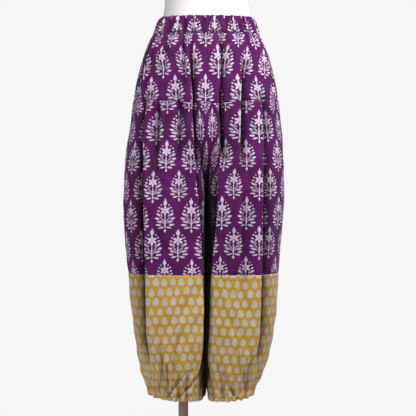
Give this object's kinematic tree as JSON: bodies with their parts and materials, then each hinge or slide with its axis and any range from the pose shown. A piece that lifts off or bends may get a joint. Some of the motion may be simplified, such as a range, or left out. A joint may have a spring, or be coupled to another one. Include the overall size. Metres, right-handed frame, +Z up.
{
  "type": "gathered balloon trousers on a limbless dress form",
  "caption": "Cotton balloon trousers with an elastic waist, plum block-print legs and mustard leaf-print borders gathered at the hems, on a white dress form with a wooden pole and base",
  "frame": {"origin": "Middle of the flat underside of the base, on the plane of symmetry of the dress form", "axes": "+X towards the wearer's left, +Y towards the back, +Z up; the front of the trousers faces -Y"},
  "size_m": [0.3756, 0.34, 1.5263],
  "materials": {
    "plum_print": "woven cotton, plum ground with an off-white flowering-tree block print",
    "mustard_print": "woven cotton, mustard ground with a grey-beige leaf block print",
    "form_white": "smooth satin white shell",
    "wood": "stained, satin varnish",
    "steel": "brushed"
  },
  "bodies": {
    "root": {"waistband_front": "plum_print", "waistband_back": "plum_print", "yoke_front_left": "plum_print", "yoke_front_right": "plum_print", "yoke_back_left": "plum_print", "yoke_back_right": "plum_print", "leg_front_left": "plum_print", "leg_front_right": "plum_print", "leg_back_left": "plum_print", "leg_back_right": "plum_print", "border_front_left": "mustard_print", "border_front_right": "mustard_print", "border_back_left": "mustard_print", "border_back_right": "mustard_print", "casing_front_left": "mustard_print", "casing_front_right": "mustard_print", "casing_back_left": "mustard_print", "casing_back_right": "mustard_print", "form_torso": "form_white", "form_neck_cap": "wood", "form_pole": "wood", "form_base": "wood", "form_flange": "steel"}
  },
  "joints": []
}
